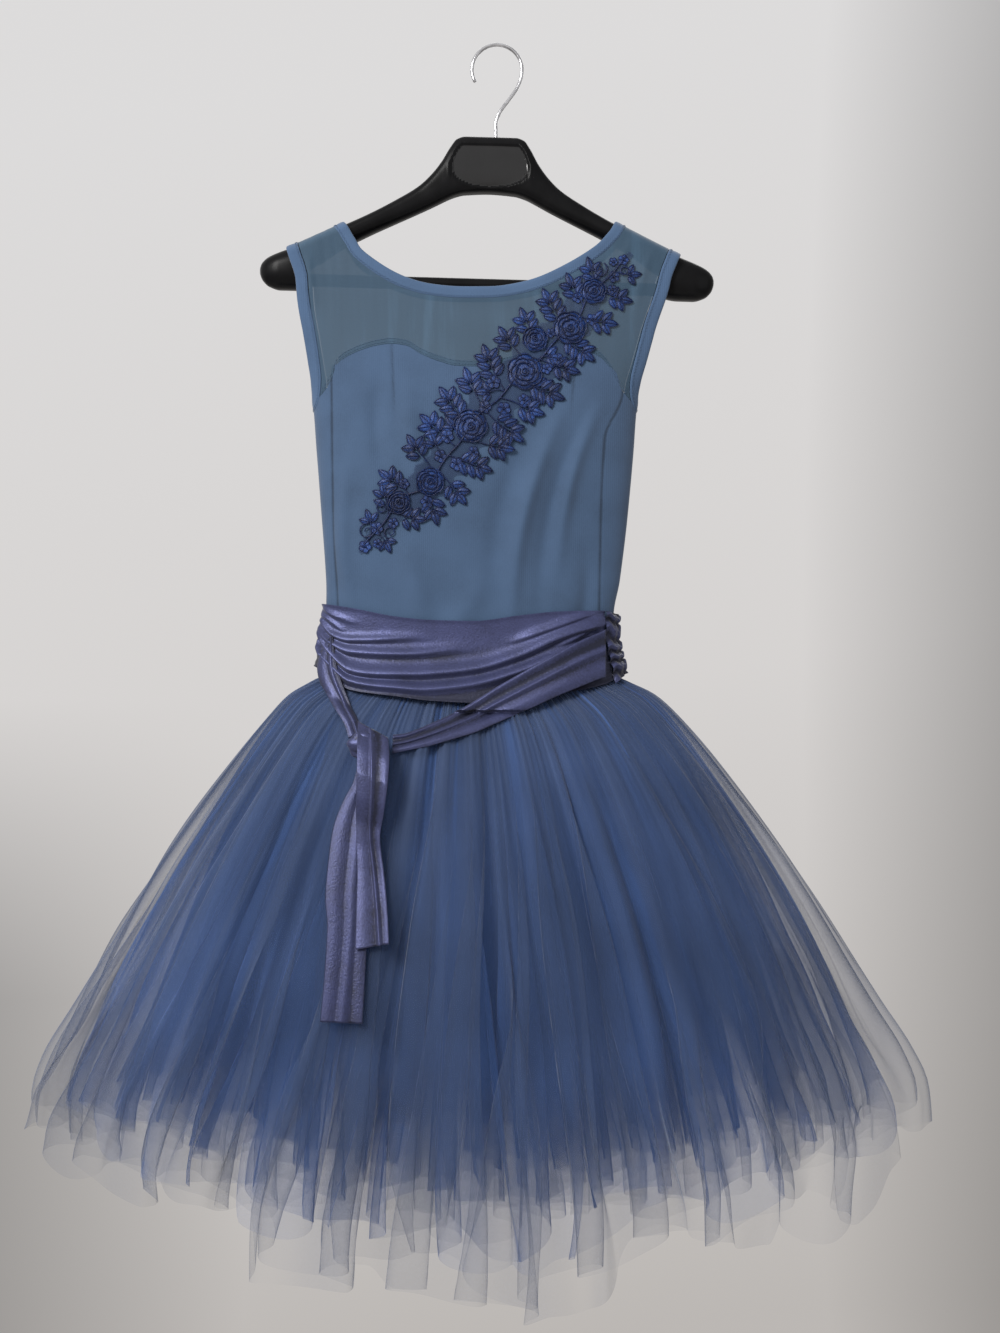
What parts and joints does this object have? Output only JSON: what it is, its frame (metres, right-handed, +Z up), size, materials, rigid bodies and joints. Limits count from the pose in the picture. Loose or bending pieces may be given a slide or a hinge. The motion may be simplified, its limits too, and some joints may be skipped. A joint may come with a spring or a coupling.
{
  "type": "dance dress on a clothes hanger",
  "caption": "Sleeveless dance dress with a sheer yoke, fitted bodice, floral applique, tied sash and full layered tulle skirt, hanging on a plastic hanger by its hook.",
  "frame": {"origin": "inside top of the hanger's hook, where it rests on whatever holds it", "axes": "+Z up, -Y out of the front of the dress, +X towards the viewer's right when the front is seen"},
  "size_m": [0.8585, 0.2899, 1.1588],
  "materials": {
    "mesh": "sheer stretch mesh",
    "jersey": "matte stretch jersey",
    "binding": "folded jersey strip",
    "cord": "corded embroidery",
    "satin": "satin with a soft shine",
    "tulle": "gathered tulle",
    "plastic": "satin black",
    "wire": "bright plated wire"
  },
  "bodies": {
    "root": {"yoke_front": "mesh", "yoke_back": "mesh", "front_panel": "jersey", "side_left": "jersey", "side_right": "jersey", "back_panel": "jersey", "neck_binding": "binding", "armhole_binding_left": "binding", "armhole_binding_right": "binding", "applique": "cord", "sash_front": "satin", "sash_gather": "satin", "sash_back": "satin", "sash_strap_right": "satin", "sash_strap_left": "satin", "sash_knot": "satin", "sash_tail_short": "satin", "sash_tail_long": "satin", "skirt_top": "tulle", "skirt_middle": "tulle", "skirt_under": "tulle", "hanger_body": "plastic", "hanger_bar": "plastic", "hanger_hook": "wire"}
  },
  "joints": []
}
